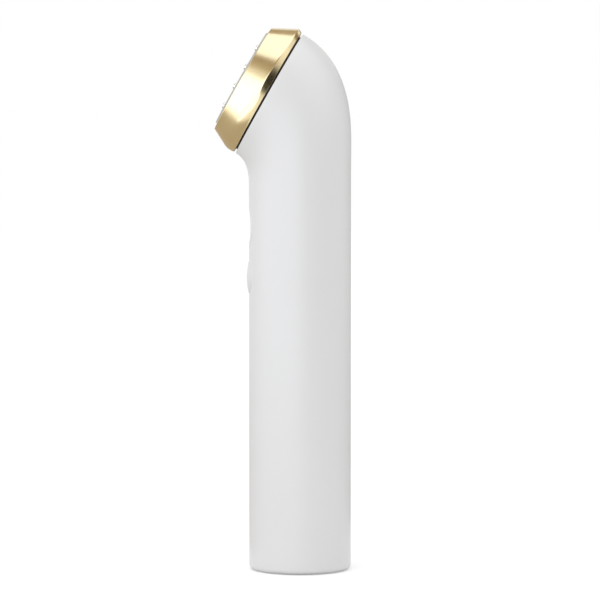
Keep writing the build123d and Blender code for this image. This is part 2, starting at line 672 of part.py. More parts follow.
def face_plate():
    plate_half = lip_half - PLATE_GAP
    plate = oval_slab(plate_half, plate_back, plate_front)
    plate = fillet(plate.edges().sort_by(plane_height(on_head(0)))[-1], PLATE_ROUND)
    flange_half = flared_half(lip_back) - slant_wall - PLATE_GAP
    plate += oval_slab(flange_half, plate_back, plate_back + PLATE_FLANGE)
    for x, up in electrode_places():
        plate -= post(on_head(plate_front - PIN_SEAT, x, up), PIN_R + PLATE_GAP / 2, 2 * PIN_SEAT)
        plate -= post(on_head(plate_back, x, up), PIN_STEM_R + PLATE_GAP, plate_front - plate_back)
    return plate


def face_seal():
    """The thin bonding frame between the plate's flange and the ring's lip."""
    outer = flared_half(lip_back) - slant_wall - 2 * PLATE_GAP
    return oval_band(outer, lip_half, lip_back - FACE_SEAL_THICK, lip_back)


def electrode(x, up):
    """A plated pin: a rounded tip on a thin stem that is soldered through the board."""
    seat = on_head(plate_front - PIN_SEAT, x, up)
    tip = post(seat, PIN_R, PIN_SEAT + PIN_PROUD)
    tip = fillet(tip.edges().sort_by(plane_height(seat))[-1], PIN_ROUND)
    tail = on_head(electrode_board_low - PIN_TAIL, x, up)
    return tip + post(tail, PIN_STEM_R, plate_front - PIN_SEAT - electrode_board_low + PIN_TAIL)


def electrodes():
    return group(electrode(x, up) for x, up in electrode_places())


def electrode_board():
    board = oval_slab(barrel_half - BARREL_WALL - CLEAR, electrode_board_low, electrode_board_top)
    for x, up in electrode_places():
        board -= post(on_head(electrode_board_low, x, up), PIN_STEM_R + PLATE_GAP, ELECTRODE_BOARD_THICK)
    return board


def temperature_sensor():
    return post(on_head(electrode_board_top), SENSOR_R, ELECTRODE_BOARD_DROP)


nodes = {
    "main_housing": main_housing(),
    "base_cap": base_cap(),
    "foot_pad": foot_pad(),
    "base_screws": base_screws(),
    "power_button": button_cap(power_z, POWER_R, POWER_CROWN),
    "level_button": button_cap(level_z, LEVEL_R, LEVEL_CROWN),
    "power_plunger": switch_plunger(power_z),
    "level_plunger": switch_plunger(level_z),
    "power_switch": switch_body(power_z),
    "level_switch": switch_body(level_z),
    "button_guide": button_guide(),
    "main_board": main_board(),
    "board_screws": board_screws(),
    "controller_chip": on_board(CHIP, power_z - CHIP_DROP),
    "charger_chip": on_board(CHARGER, charger_z),
    "boost_coil": boost_coil(),
    "storage_capacitors": storage_capacitors(),
    "driver_transistors": driver_transistors(),
    "transformer_core": transformer_core(),
    "transformer_winding": transformer_winding(),
    "vibration_motor": post(at_front(motor_z, board_back), MOTOR_R, -MOTOR_HIGH),
    "usb_shell": usb_shell(),
    "usb_tongue": usb_tongue(),
    "head_plug": behind_board(PLUG, plug_z),
    "ribbon_cable": ribbon_cable(),
    "chassis": chassis(),
    "battery_cell": battery_cell(),
    "battery_tabs": battery_tabs(),
    "battery_pads": battery_pads(),
    "gold_ring": gold_ring(),
    "ring_gasket": ring_gasket(),
    "head_carrier": head_carrier(),
    "carrier_screws": carrier_screws(),
    "face_plate": face_plate(),
    "face_seal": face_seal(),
    "electrodes": electrodes(),
    "electrode_board": electrode_board(),
    "temperature_sensor": temperature_sensor(),
}

for name, shape in nodes.items():
    export_step(shape, f"parts/{name}.step")
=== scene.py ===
# %% [markdown]
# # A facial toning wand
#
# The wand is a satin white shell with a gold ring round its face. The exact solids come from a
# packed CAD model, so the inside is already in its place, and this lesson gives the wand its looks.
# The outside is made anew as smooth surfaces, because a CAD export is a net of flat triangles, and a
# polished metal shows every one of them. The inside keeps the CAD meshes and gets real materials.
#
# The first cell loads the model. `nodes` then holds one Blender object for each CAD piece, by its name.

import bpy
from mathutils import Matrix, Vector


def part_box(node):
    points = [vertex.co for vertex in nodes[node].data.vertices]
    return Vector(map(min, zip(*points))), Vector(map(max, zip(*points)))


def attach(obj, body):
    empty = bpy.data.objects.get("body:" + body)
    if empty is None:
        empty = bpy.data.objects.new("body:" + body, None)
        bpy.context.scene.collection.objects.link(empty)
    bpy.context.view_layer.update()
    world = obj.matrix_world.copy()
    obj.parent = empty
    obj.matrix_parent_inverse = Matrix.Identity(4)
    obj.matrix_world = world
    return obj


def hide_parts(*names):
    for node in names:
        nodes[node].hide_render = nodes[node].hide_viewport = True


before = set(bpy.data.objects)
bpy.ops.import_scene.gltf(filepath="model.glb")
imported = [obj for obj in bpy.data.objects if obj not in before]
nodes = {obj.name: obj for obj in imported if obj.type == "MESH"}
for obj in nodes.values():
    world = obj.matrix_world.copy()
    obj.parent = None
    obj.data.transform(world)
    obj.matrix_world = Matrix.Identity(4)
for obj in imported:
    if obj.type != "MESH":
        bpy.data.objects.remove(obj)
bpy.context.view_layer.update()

# %% [markdown]
# ## Two frames to think in
#
# Lengths below are millimetres, as in the CAD, and become metres only when a mesh is made. The grip
# stands upright on the origin with its front towards -Y. Its radius and its lower rim are read from
# the CAD housing's box. The head leans back, so its pieces are easier to describe in a frame of
# their own: across (x), up the mouth, and out of the mouth. `on_head` turns such points into the
# wand's frame. It is one rotation about X and one shift.

# %% The wand's main sizes and the head's frame
import bmesh
import bpy
import numpy as np
from math import atan2, comb, cos, hypot, pi, radians, sin, sqrt, tan

MM = 0.001


def node_box(node):
    """The lowest and the highest corner of a CAD node, in mm to a hundredth."""
    return np.round([np.array(corner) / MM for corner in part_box(node)], 2)


housing_low, housing_high = node_box("main_housing")
TUBE_R, RIM_Z = housing_high[0], housing_low[2]
WALL, NECK_Z, FOOT_ROUND = 2.2, 126.0, 1.2
INNER_R = TUBE_R - WALL
MOUTH_HALF, MOUTH_TOP, HEAD_LEAN = 22.45, (0.96, 176.45), radians(29.7)
SLIM = MOUTH_HALF - TUBE_R  # each oval of the head is this much slimmer than it is long

mouth_up = np.array([0.0, sin(HEAD_LEAN), cos(HEAD_LEAN)])
mouth_out = np.array([0.0, -cos(HEAD_LEAN), sin(HEAD_LEAN)])
mouth_middle = np.array([0.0, *MOUTH_TOP]) - MOUTH_HALF * mouth_up


def on_head(points):
    """Turns (across, up, out) into (x, y, z): middle + across * X + up * mouth_up + out * mouth_out."""
    across, up, out = points[..., 0:1], points[..., 1:2], points[..., 2:3]
    return mouth_middle + across * np.array([1.0, 0.0, 0.0]) + up * mouth_up + out * mouth_out


print("grip's radius, mm:", TUBE_R, "middle of the mouth, mm:", mouth_middle.round(2))

# %% [markdown]
# ## Grids and pieces
#
# Every surface below is a grid of points: rows run along the shape and columns run round it. The
# faces of such a grid follow from the row and column numbers alone, so one function serves all
# shapes.

# %% Points and faces of a grid
def joined(*parts):
    """Arrays spread over one grid and joined: the x, y and z of points, or the corners of faces."""
    return np.stack(np.broadcast_arrays(*parts), axis=-1)


def full_turn(columns):
    """Evenly spaced angles once round, as one row."""
    return np.linspace(0, 2 * pi, columns, endpoint=False)[None, :]


def grid_faces(rows, columns, closed=False):
    """Corner numbers of a grid's cells. Columns always close; rows close where closed is set.

    Cell (i, j) joins the points (i, j), (i, j + 1), (i + 1, j + 1) and (i + 1, j), and point (i, j)
    has the number i * columns + j.
    """
    row = np.arange(rows if closed else rows - 1)[:, None]
    column = np.arange(columns)[None, :]
    here, above, beside = row * columns, (row + 1) % rows * columns, (column + 1) % columns
    return joined(here + column, here + beside, above + beside, above + column).reshape(-1, 4)


print("a grid of 3 by 4 points has", len(grid_faces(3, 4)), "faces")

# %% [markdown]
# A second function puts points and faces into a mesh, merges the points that meet at poles and
# seams, turns the faces outwards and shades them smooth, apart from true corners. It counts the open
# edges too, because a seam or a pole that isn't closed would let light into the wand.

# %% A mesh from points and faces
SAME_POINT, SHARP_CORNER = 1e-6, radians(35)  # metres, and the least angle of a true corner


def add_piece(name, surfaces, body="wand"):
    """One object from several surfaces, each a pair of a grid of points in mm and its cells."""
    points = np.concatenate([grid.reshape(-1, 3) for grid, cells in surfaces])
    starts = np.cumsum([0] + [grid.size // 3 for grid, cells in surfaces])
    faces = np.concatenate([cells + start for (grid, cells), start in zip(surfaces, starts)])
    mesh = bpy.data.meshes.new(name)
    mesh.from_pydata((points * MM).tolist(), [], faces.tolist())
    net = bmesh.new()
    net.from_mesh(mesh)
    bmesh.ops.remove_doubles(net, verts=net.verts, dist=SAME_POINT)
    bmesh.ops.recalc_face_normals(net, faces=net.faces)
    open_edges = sum(not edge.is_manifold for edge in net.edges)
    net.to_mesh(mesh)
    net.free()
    mesh.shade_smooth()
    mesh.set_sharp_from_angle(angle=SHARP_CORNER)
    obj = bpy.data.objects.new(name, mesh)
    bpy.context.scene.collection.objects.link(obj)
    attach(obj, body)
    print(f"{name}: {len(mesh.polygons)} faces, {open_edges} open edges")
    return obj


print("points closer than this are one, mm:", SAME_POINT / MM)

# %% [markdown]
# ## Profiles carried round an oval
#
# Most pieces of the wand are a cross-section carried round: round an axis for the pins and the screw
# bosses, and round the head's oval for the ring, its gasket and the face plate. The section is a
# polygon whose corners are rounded by arcs, as a moulded or turned edge always is. Long straight
# sides get a few extra points near their ends, so that the smooth shading of an arc doesn't creep
# over the flat beside it.

# %% Rounded profiles, carried round
SUPPORT = np.array([0.04, 0.35, 0.65, 0.96])  # shares of the way along each straight side


def supported(arcs):
    """Joins arcs into one closed profile, with a few points along each straight between them."""
    start, end = arcs[:, -1:], np.roll(arcs[:, :1], -1, axis=0)
    spans = start + (end - start) * SUPPORT[None, :, None]
    return np.concatenate([arcs, spans], axis=1).reshape(-1, 2)


def rounded(corners, steps=6, closed=True):
    """A polygon of corners (reach, height, r), each swapped for an arc that touches both its sides.

    With a and b the unit vectors to the corner before and after, m = (a + b) / |a + b| and h half the
    angle between them, the arc's centre is corner + r / sin(h) * m, and it runs from
    corner + a * r / tan(h) to corner + b * r / tan(h). Points between two directions p and q at an
    angle w are found as (sin((1 - s) w) p + sin(s w) q) / sin(w).
    """
    corners, radii = np.split(np.array(corners, float), [2], axis=1)
    a = np.roll(corners, 1, axis=0) - corners
    b = np.roll(corners, -1, axis=0) - corners
    a, b = a / np.linalg.norm(a, axis=1, keepdims=True), b / np.linalg.norm(b, axis=1, keepdims=True)
    h = np.arccos(np.clip((a * b).sum(1, keepdims=True), -1, 1)) / 2
    m = (a + b) / np.linalg.norm(a + b, axis=1, keepdims=True)
    p, q = (a * np.cos(h) - m) / np.sin(h), (b * np.cos(h) - m) / np.sin(h)
    w, s = (pi - 2 * h)[:, None], np.linspace(0, 1, steps + 1)[None, :, None]
    turn = (np.sin((1 - s) * w) * p[:, None] + np.sin(s * w) * q[:, None]) / np.sin(w)
    points = supported((corners + m * radii / np.sin(h))[:, None] + radii[:, None] * turn)
    return points if closed else points[: -len(SUPPORT)]


def carried(profile, columns, slim=0.0):
    """A profile of (reach, height) carried round: x = (reach - slim) cos t, up = reach sin t."""
    t, reach, height = full_turn(columns), profile[:, 0:1], profile[:, 1:2]
    return joined(np.maximum(reach - slim, 0) * np.cos(t), reach * np.sin(t), height)


square = rounded([(0, 0, 0.1), (1, 0, 0.1), (1, 1, 0.1), (0, 1, 0.1)])
print("a unit square with its corners rounded has", len(square), "points")

# %% [markdown]
# ## The shell
#
# The housing is one moulding: a round grip that leans forward at the neck and opens into an oval
# mouth. It could be a cylinder bent by a curve, but the neck isn't a bent tube: its back is one long
# sweep and its front a short tight one. So its two side outlines are drawn as Bezier curves, which
# leave the grip upright and meet the mouth square. A pull is how far a curve's handle stands from
# its end, in mm.

# %% The neck's outlines
BACK_PULLS, BACK_MOUTH_PULL = (14.0, 18.0), 21.4
CHIN_PULLS, CHIN_MOUTH_PULL = (8.5,), 2.4
NECK_ROWS, NECK_END = 64, 0.963  # the mouth's rounded edge takes over at this share of the curves


def outline(side, grip_pulls, mouth_pull, t):
    """Points (y, z) of a Bezier curve, the sum of handle k times comb(n, k) (1 - t)^(n - k) t^k.

    It runs up the back for a side of 1 and up the front for -1, from the grip to the mouth.
    """
    start_y, end = side * TUBE_R, mouth_middle[1:] + side * MOUTH_HALF * mouth_up[1:]
    handles = [(start_y, NECK_Z)] + [(start_y, NECK_Z + pull) for pull in grip_pulls]
    handles = np.array(handles + [end - mouth_pull * mouth_out[1:], end])
    last = len(handles) - 1
    weights = [comb(last, k) * (1 - t) ** (last - k) * t**k for k in range(last + 1)]
    return np.stack(weights, axis=-1) @ handles


def back_and_chin(t):
    """The neck's outlines at the back and at the front."""
    back = outline(1, BACK_PULLS, BACK_MOUTH_PULL, t)
    return back, outline(-1, CHIN_PULLS, CHIN_MOUTH_PULL, t)


neck_t = np.linspace(0, NECK_END, NECK_ROWS)
print("furthest back of the neck, mm:", back_and_chin(neck_t)[0][:, 0].max().round(2))

# %% [markdown]
# Each row of the shell is a closed line: a circle round the grip, an ellipse spanned between the two
# outlines in the neck, and an oval at the mouth. The inner skin is the same surface, moved inwards
# by the wall.

# %% Rows of the grip, the neck and the mouth
def grip_rows(heights, radii, turn):
    """Rows round the grip: (r cos, r sin, z)."""
    z, r = np.array(heights, float)[:, None], np.array(radii, float).reshape(-1, 1)
    return joined(r * np.cos(turn), r * np.sin(turn), z)


def neck_rows(t, inset, turn):
    """Ellipses between the two outlines: middle + (R - inset) cos * X + (half - inset) sin * across."""
    back, chin = back_and_chin(t)
    across, middle = (back - chin)[:, None, :], ((back + chin) / 2)[:, None, :]
    length = np.linalg.norm(across, axis=-1, keepdims=True)
    side = across / length * (length / 2 - inset) * np.sin(turn)[None, :, None] + middle
    return joined((TUBE_R - inset) * np.cos(turn), side[..., 0], side[..., 1])


def mouth_rows(halves, heights, turn):
    """Rows of the head's ovals: across = (half - slim) cos, up = half sin, at a height out of the mouth."""
    half, height = np.array(halves, float)[:, None], np.array(heights, float)[:, None]
    return on_head(joined((half - SLIM) * np.cos(turn), half * np.sin(turn), height))


neck_length = np.linalg.norm(np.diff(back_and_chin(neck_t)[0], axis=0), axis=1).sum()
print("length of the neck's back, mm:", neck_length.round(1))

# %% [markdown]
# ## Room for the two buttons
#
# A round hole in a grid is awkward: a Boolean would leave ragged triangles that show in the gloss.
# Instead a square window is left out of the grid round each button, and a patch of rings fills it.
# Each ring is a blend between the hole's circle and the window's square, so the patch ends exactly on
# the grid's own points. The window's grid lines are spaced as tan(angle), because the rings' spokes
# meet the square there. The hole's edge gets a small rounding, and its wall runs on to a second patch
# in the inner skin. Each button's height and radius are read from the box of its CAD cap.

# %% The buttons' places, and hole patches
CLEAR, CAP_FLANGE, HOLE_EDGE = 0.15, 0.9, 0.22  # gap and flange of a cap, rounding of its hole
WINDOW_HALF, WINDOW_TURN, SPOKES = 8.4, 0.5, 20  # half height in mm, half width in radians
PATCH_STEPS = 7


def cap_place(node):
    """A cap's height on the grip and its radius. Its box is as wide as the flange behind it."""
    low, high = node_box(node)
    return np.round([(low[2] + high[2]) / 2, high[0] - CAP_FLANGE], 2)


POWER_Z, POWER_R = cap_place("power_button")
LEVEL_Z, LEVEL_R = cap_place("level_button")

square_lines = np.tan(np.linspace(-pi / 4, pi / 4, SPOKES + 1))
spokes = -pi / 4 + np.arange(4 * SPOKES) * pi / 2 / SPOKES


def skin_rings(shares, skin_r, hole_r, z):
    """Rings on the grip's skin: (1 - share) * circle + share * square, in turn and height."""
    share, over, up = shares[:, None], np.cos(spokes), np.sin(spokes)
    longest = np.maximum(abs(over), abs(up))
    turn = (1 - share) * np.arcsin(hole_r * over / skin_r) + share * WINDOW_TURN * over / longest
    height = (1 - share) * hole_r * up + share * WINDOW_HALF * up / longest
    return joined(skin_r * np.sin(turn), -skin_r * np.cos(turn), z + height)


def edge_rings(angles, hole_r, z):
    """The hole's rounded rim: radius hole + e (1 - sin a), sunk by e (1 - cos a) under the skin."""
    angle = angles[:, None]
    radius, sunk = hole_r + HOLE_EDGE * (1 - np.sin(angle)), HOLE_EDGE * (1 - np.cos(angle))
    x = radius * np.cos(spokes)
    return joined(x, sunk - np.sqrt(TUBE_R**2 - x**2), z + radius * np.sin(spokes))


def hole_patch(z, hole_r):
    """Outer patch, rounded rim, wall and inner patch of one hole, as one grid."""
    shares, bend = np.linspace(1, 0, PATCH_STEPS), np.linspace(0, pi / 2, PATCH_STEPS)[1:]
    outer = skin_rings(shares, TUBE_R, hole_r + HOLE_EDGE, z)
    inner = skin_rings(shares[::-1], INNER_R, hole_r, z)
    points = np.concatenate([outer, edge_rings(bend, hole_r, z), inner])
    return points, grid_faces(points.shape[0], points.shape[1])


print("power button, mm:", POWER_Z, POWER_R, "level button, mm:", LEVEL_Z, LEVEL_R)

# %% [markdown]
# ## The shell's grid
#
# Now the rows are stacked: up the outer skin from the rim, round the mouth's edge, and down the inner
# skin with the groove for the base's hooks, back to where they began. The columns of the window are
# fine and the rest evenly spaced.

# %% Rows and columns of the shell
GROOVE_TOP, GROOVE_LOW, GROOVE_R = 6.4, 5.0, INNER_R + 0.7  # the hooks' groove
MOUTH_RIM, MOUTH_EDGE = -0.1, 0.35  # the rim's height out of the mouth, and its rounding
OTHER_COLUMNS, GRIP_ROWS, INNER_ROWS, TOP_ROWS, FOOT_ROWS, RIM_ROWS = 109, 40, 30, 4, 9, 5

window_turns = -pi / 2 + WINDOW_TURN * square_lines
other_turns = np.linspace(-pi / 2 + WINDOW_TURN, 1.5 * pi - WINDOW_TURN, OTHER_COLUMNS)[1:-1]
turns = np.concatenate([window_turns, other_turns])
window_zs = np.concatenate([POWER_Z + WINDOW_HALF * square_lines, LEVEL_Z + WINDOW_HALF * square_lines[1:]])

above_foot = np.linspace(RIM_Z + FOOT_ROUND, window_zs[0], GRIP_ROWS)[1:-1]
above_windows = np.linspace(window_zs[-1], NECK_Z, TOP_ROWS)[1:-1]
outer_zs = np.concatenate([above_foot, window_zs, above_windows])
above_groove = np.linspace(window_zs[0], GROOVE_TOP, INNER_ROWS)[1:]
inner_zs = np.concatenate([above_windows[::-1], window_zs[::-1], above_groove])
groove = [(GROOVE_TOP, GROOVE_R), (GROOVE_LOW, GROOVE_R), (GROOVE_LOW, INNER_R), (RIM_Z, INNER_R)]
foot_bend, mouth_bend = np.linspace(0, pi / 2, FOOT_ROWS), np.linspace(0, pi / 2, RIM_ROWS)
foot_zs = RIM_Z + FOOT_ROUND * (1 - np.cos(foot_bend))
foot_radii = TUBE_R - FOOT_ROUND * (1 - np.sin(foot_bend))
mouth_halves = MOUTH_HALF - MOUTH_EDGE + MOUTH_EDGE * np.cos(mouth_bend)
mouth_heights = MOUTH_RIM - MOUTH_EDGE + MOUTH_EDGE * np.sin(mouth_bend)

stacks = [
    grip_rows(foot_zs, foot_radii, turns),
    grip_rows(outer_zs, TUBE_R, turns),
    neck_rows(neck_t, 0.0, turns),
    mouth_rows(mouth_halves, mouth_heights, turns),
    mouth_rows([MOUTH_HALF - WALL], [MOUTH_RIM], turns),
    neck_rows(neck_t[::-1], WALL, turns),
    grip_rows(inner_zs, INNER_R, turns),
    grip_rows(*zip(*groove), turns),
]
shell = np.concatenate(stacks)
print("the shell's grid, rows by columns:", shell.shape[:2])

# %% [markdown]
# The cells of the windows are left out, in both skins, because the patches fill them. A cell is known
# by its row and column alone, so a table of true and false picks the faces.

# %% Drop the windows' cells
OUTER_GRIP, INNER_GRIP = 1, 6  # where the grip's two skins stand in stacks

row_starts = np.cumsum([0] + [len(stack) for stack in stacks])
outer_low = row_starts[OUTER_GRIP] + len(above_foot)
inner_low = row_starts[INNER_GRIP] + len(above_windows)
cells = np.ones((len(shell), len(turns)), bool)
for low in (outer_low, inner_low):
    cells[low : low + 2 * SPOKES, :SPOKES] = False
shell_faces = grid_faces(len(shell), len(turns), closed=True)[cells.ravel()]
print("cells dropped:", int((~cells).sum()))

# %% [markdown]
# Four screw bosses stand inside the mouth, for the screws of the carrier that holds the face. Each is
# a small cup carried round, set midway between the carrier's barrel and the wall. They join the
# shell's mesh as surfaces of their own, as do the two patches.

# %% Bosses, patches and the finished housing
BOSS_TURN, BOSS_R, BORE_R, BOSS_COLUMNS = radians(38.5), 2.5, 0.8, 24
BOSS_LOW, BORE_LOW, BOSS_TOP = -10.0, -8.0, -3.0  # heights out of the mouth
BARREL_HALF, SEAT_CLEAR = 16.0, 0.4  # the carrier's barrel, and the gap round its seat


def repeated(shape, middles):
    """The same shape at each of several middles on the head, as surfaces."""
    return [(on_head(shape + middle), grid_faces(*shape.shape[:2])) for middle in np.array(middles)]


boss_half = (BARREL_HALF + MOUTH_HALF - WALL - SEAT_CLEAR) / 2
boss_across, boss_up = (boss_half - SLIM) * cos(BOSS_TURN), boss_half * sin(BOSS_TURN)
boss_middles = [(x, up, 0.0) for x in (-boss_across, boss_across) for up in (-boss_up, boss_up)]
boss_corners = [
    (0, BOSS_LOW, 0),
    (BOSS_R, BOSS_LOW, 0.2),
    (BOSS_R, BOSS_TOP, 0.1),
    (BORE_R, BOSS_TOP, 0.1),
    (BORE_R, BORE_LOW, 0.1),
    (0, BORE_LOW, 0),
]
boss = carried(rounded(boss_corners, steps=3, closed=False), BOSS_COLUMNS)

patches = [hole_patch(POWER_Z, POWER_R + CLEAR), hole_patch(LEVEL_Z, LEVEL_R + CLEAR)]
housing = add_piece("housing_shell", [(shell, shell_faces)] + patches + repeated(boss, boss_middles))
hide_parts("main_housing")

# %% [markdown]
# ## The gold ring
#
# The ring is the one mirror on the wand, so its section matters most. It is a flared band: its
# outside widens by 28 degrees towards the back, turns over a ridge there and falls back to the
# shell's own width, its front edge is nearly sharp, and a lip turns inwards over the face plate. The
# ridge is crisp at the cheeks and softer over the crown and under the chin. So three sections are
# drawn, each a closed profile carried round the head's oval, and the ring is a blend of them.

# %% Sections of the ring
RING_FRONT, RING_HALF, FLARE = 9.9, 19.0, radians(28.0)
LIP_HALF, LIP_BACK, FLANGE = 17.1, RING_FRONT - 1.2, 1.7
SEAT_GAP, RING_SEAT, RING_COLUMNS = 0.55, 17.9, 256
SLANT_WALL = 1.3 / cos(FLARE)  # the flared wall's thickness, measured across the oval
CROWN, CHEEK, CHIN = (1.8, 22.5, 0.8), (2.8, 22.0, 0.6), (2.9, 22.3, 6.0)  # as ring_section asks


def flared(height):
    """Half of the ring's long way at a height: front half + tan(flare) * (front - height)."""
    return RING_HALF + tan(FLARE) * (RING_FRONT - height)


def ring_section(ridge, back_half, ridge_round):
    """The ring's profile: from the seat out to the back edge, over the ridge, and along the flare."""
    corners = [
        (RING_SEAT, SEAT_GAP, 0.15),
        (back_half, SEAT_GAP, 0.12),
        (flared(ridge), ridge, ridge_round),
        (RING_HALF, RING_FRONT, 0.25),
        (LIP_HALF, RING_FRONT, 0.12),
        (LIP_HALF, LIP_BACK, 0.1),
        (flared(LIP_BACK) - SLANT_WALL, LIP_BACK, 0.1),
        (flared(FLANGE) - SLANT_WALL, FLANGE, 0.3),
        (RING_SEAT, FLANGE, 0.15),
    ]
    return rounded(corners, steps=12)


print("points of each section:", len(ring_section(*CHEEK)))

# %% [markdown]
# Height on the oval runs from -1 under the chin to 1 at the crown. The chin's section gives way to
# the crown's by a smooth step, and a bell curve a little above the middle brings in the cheek's.

# %% Build the ring
CHIN_ENDS, CROWN_BEGINS = -0.3, 0.8  # heights on the oval, as are the next two
CHEEK_MIDDLE, CHEEK_SPREAD = 0.2, 0.4


def smooth_rise(x):
    """0 below 0, 1 above 1, and 3 x^2 - 2 x^3 between."""
    x = np.clip(x, 0, 1)
    return x * x * (3 - 2 * x)


crown, cheek, chin = (carried(ring_section(*sizes), RING_COLUMNS, SLIM) for sizes in (CROWN, CHEEK, CHIN))
rise = np.sin(full_turn(RING_COLUMNS))[..., None]
crown_share = smooth_rise((rise - CHIN_ENDS) / (CROWN_BEGINS - CHIN_ENDS))
cheek_share = np.exp(-(((rise - CHEEK_MIDDLE) / CHEEK_SPREAD) ** 2))
ring = cheek_share * cheek + (1 - cheek_share) * (crown_share * crown + (1 - crown_share) * chin)
gold_ring = add_piece("gold_bezel", [(on_head(ring), grid_faces(len(ring), RING_COLUMNS, closed=True))])
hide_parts("gold_ring")
print("ring's widest half, mm:", round(float(abs(ring[..., 1]).max()), 2))

# %% [markdown]
# A rubber gasket lies between the shell and the ring. It is narrower than both, so what shows of it
# is a dark line in a groove. Its near-black is partly the rubber's own colour and partly painted
# shade, standing in for the shadow in that groove. It could be a dark stripe on the shell, but a real
# gap also catches shade. Its section is a flat strip.

# %% Build the gasket
GASKET_INSET, GASKET_CLEAR, GASKET_ROUND = 1.4, 0.15, 0.05

gasket_half, gasket_hole = MOUTH_HALF - GASKET_INSET, MOUTH_HALF - WALL + GASKET_CLEAR
strip_corners = [
    (gasket_hole, MOUTH_RIM, GASKET_ROUND),
    (gasket_half, MOUTH_RIM, GASKET_ROUND),
    (gasket_half, SEAT_GAP, GASKET_ROUND),
    (gasket_hole, SEAT_GAP, GASKET_ROUND),
]
strip = rounded(strip_corners)
strip_grid = grid_faces(len(strip), RING_COLUMNS, closed=True)
gasket_strip = add_piece("gasket_strip", [(on_head(carried(strip, RING_COLUMNS, SLIM)), strip_grid)])
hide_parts("ring_gasket")

# %% [markdown]
# ## The face plate and its pins
#
# The face is a flat plate with a rounded rim, which stands proud of the ring, and fourteen pins come
# through it. The plate is a profile carried round once more. It starts at the oval's own middle line,
# where the reach equals the slimness and the left and right halves meet.

# %% Build the plate
PLATE_FRONT, PLATE_THICK, PLATE_CLEAR = RING_FRONT + 0.65, 1.9, 0.1

plate_half, plate_back = LIP_HALF - PLATE_CLEAR, PLATE_FRONT - PLATE_THICK
plate_corners = [
    (SLIM, plate_back, 0),
    (plate_half, plate_back, 0.1),
    (plate_half, PLATE_FRONT, 0.25),
    (SLIM, PLATE_FRONT, 0),
]
plate = carried(rounded(plate_corners, closed=False), RING_COLUMNS, SLIM)
face_plate = add_piece("face_oval", [(on_head(plate), grid_faces(len(plate), RING_COLUMNS))])
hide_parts("face_plate")

# %% [markdown]
# The pins are turned and plated: a domed head, a shoulder behind the plate's front and a thin leg
# down to the board. One profile serves them all, put at fourteen places by adding a middle to it.

# %% Build the pins
PIN_COUNTS, PIN_COLUMNS = (3, 4, 4, 3), 32
ROW_MARGIN, COLUMN_MARGIN = 6.36, 3.95  # from the lip's oval to the outer rows and columns
PIN_R, LEG_R, PIN_TIP = 1.0, 0.5, PLATE_FRONT + 0.65
PIN_SHOULDER, LEG_END = PLATE_FRONT - 0.9, 5.8

row_gaps, column_gaps = len(PIN_COUNTS) - 1, max(PIN_COUNTS) - 1
row_pitch = 2 * (LIP_HALF - ROW_MARGIN) / row_gaps
column_pitch = 2 * (LIP_HALF - SLIM - COLUMN_MARGIN) / column_gaps
pin_middles = [
    ((k - (count - 1) / 2) * column_pitch, (row - row_gaps / 2) * row_pitch, 0.0)
    for row, count in enumerate(PIN_COUNTS)
    for k in range(count)
]
pin_corners = [
    (0, LEG_END, 0),
    (LEG_R, LEG_END, 0.1),
    (LEG_R, PIN_SHOULDER, 0.05),
    (PIN_R, PIN_SHOULDER, 0.1),
    (PIN_R, PIN_TIP, 0.5),
    (0, PIN_TIP, 0),
]
pin = carried(rounded(pin_corners, steps=8, closed=False), PIN_COLUMNS)
electrodes = add_piece("electrode_pins", repeated(pin, pin_middles))
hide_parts("electrodes")

# %% [markdown]
# ## The buttons
#
# Both caps are cut from a barrel whose side follows the grip, so their edges lie in the grip's skin
# all round. The power button's barrel bulges and makes a dome; the level button's is waisted and
# makes a dish. Over a polar grid with x = r cos a and z = r sin a, the barrel's radius at z is
# R - b + sqrt(b^2 - z^2) with b the bow's radius, and the skin is at the square root of its square
# less x^2, ahead of the barrel's axis. The rows go on over a rounded edge, down the side, round the
# hidden flange and along the stem.

# %% Build the two buttons
POWER_CROWN, LEVEL_CROWN = 0.75, -0.48  # how far each cap bulges from the grip's skin
BUTTON_BACK, STEM_TIP, STEM_R = 12.2, 10.6, 1.6
CAP_EDGE, CAP_COLUMNS, CROWN_ROWS, EDGE_ROWS = 0.3, 96, 22, 9


def barrel_front(x, z, radius, crown):
    """How far ahead of the grip's axis the cap's front is at (x, z)."""
    drop = TUBE_R + crown - sqrt(TUBE_R**2 - radius**2)
    barrel_r = (radius**2 + drop**2) / (2 * drop)
    bow_r = (radius**2 + crown**2) / (2 * crown)
    barrel_here = barrel_r - bow_r * (1 - np.sqrt(1 - (z / bow_r) ** 2))
    return TUBE_R + crown - barrel_r + np.sqrt(barrel_here**2 - x**2)


def button(name, z, radius, crown):
    """A cap as rows of a polar grid, from the middle of its crown back to the tip of its stem."""
    turn, bend = full_turn(CAP_COLUMNS), np.linspace(0, pi / 2, EDGE_ROWS)[1:, None]
    crown_r = np.linspace(0, radius - CAP_EDGE, CROWN_ROWS)[:, None]
    reach = np.concatenate([crown_r, radius - CAP_EDGE + CAP_EDGE * np.sin(bend)])
    sunk = np.concatenate([0 * crown_r, CAP_EDGE * (1 - np.cos(bend))])
    front = barrel_front(reach * np.cos(turn), reach * np.sin(turn), radius, crown) - sunk
    flange_r = radius + CAP_FLANGE
    reaches = np.array([radius, flange_r, flange_r, STEM_R, STEM_R, 0.0])[:, None]
    behind = np.sqrt((INNER_R - CLEAR) ** 2 - (reaches[:2] * np.cos(turn)) ** 2)
    flats = np.array([BUTTON_BACK, BUTTON_BACK, STEM_TIP, STEM_TIP])[:, None] + 0 * turn
    reach, ahead = np.concatenate([reach, reaches]), np.concatenate([front, behind, flats])
    points = joined(reach * np.cos(turn), -ahead, z + reach * np.sin(turn))
    cap = add_piece(name + "_cap", [(points, grid_faces(len(points), CAP_COLUMNS))], body=name)
    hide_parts(name)
    return cap


